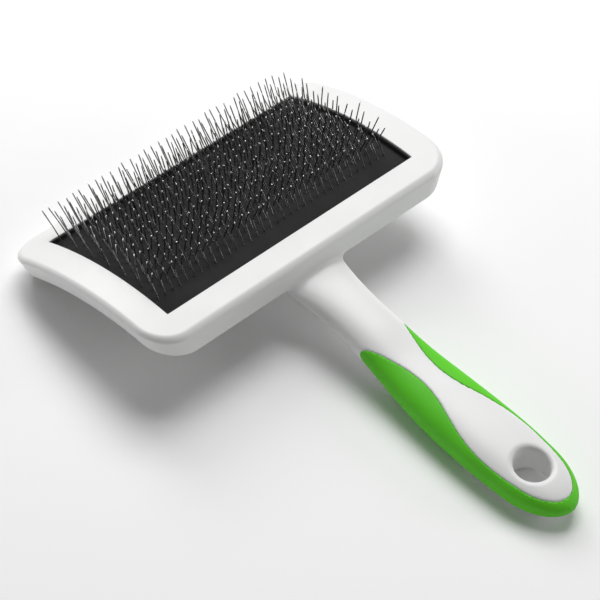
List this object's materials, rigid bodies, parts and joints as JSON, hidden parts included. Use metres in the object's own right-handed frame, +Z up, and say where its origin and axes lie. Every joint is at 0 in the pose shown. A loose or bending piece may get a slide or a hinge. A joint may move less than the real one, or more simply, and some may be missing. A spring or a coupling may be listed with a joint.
{
  "type": "slicker brush",
  "caption": "Pet slicker brush: arched rectangular head with a framed pad of bent wire pins, white neck and two-tone soft-grip handle with a hanging hole.",
  "frame": {"origin": "on the table under the middle of the brush's outline, with the brush lying on its back", "axes": "+Z up, the way the wires point; X along the long side of the head; the handle reaches towards -Y"},
  "size_m": [0.122, 0.1749, 0.0338],
  "materials": {
    "white_plastic": "satin moulded polypropylene",
    "green_rubber": "soft-touch matt elastomer",
    "black_rubber": "matt pad facing",
    "cloth": "woven, rubber-bonded",
    "foam": "closed-cell foam",
    "steel_wire": "drawn stainless wire"
  },
  "bodies": {
    "root": {"back_moulding": "white_plastic", "front_frame": "white_plastic", "grip": "green_rubber", "rubber_facing": "black_rubber", "foundation_cloth": "cloth", "foam_cushion": "foam", "wire_row_1": "steel_wire", "wire_row_2": "steel_wire", "wire_row_3": "steel_wire", "wire_row_4": "steel_wire", "wire_row_5": "steel_wire", "wire_row_6": "steel_wire", "wire_row_7": "steel_wire", "wire_row_8": "steel_wire", "wire_row_9": "steel_wire", "wire_row_10": "steel_wire", "wire_row_11": "steel_wire", "wire_row_12": "steel_wire", "wire_row_13": "steel_wire"}
  },
  "joints": []
}
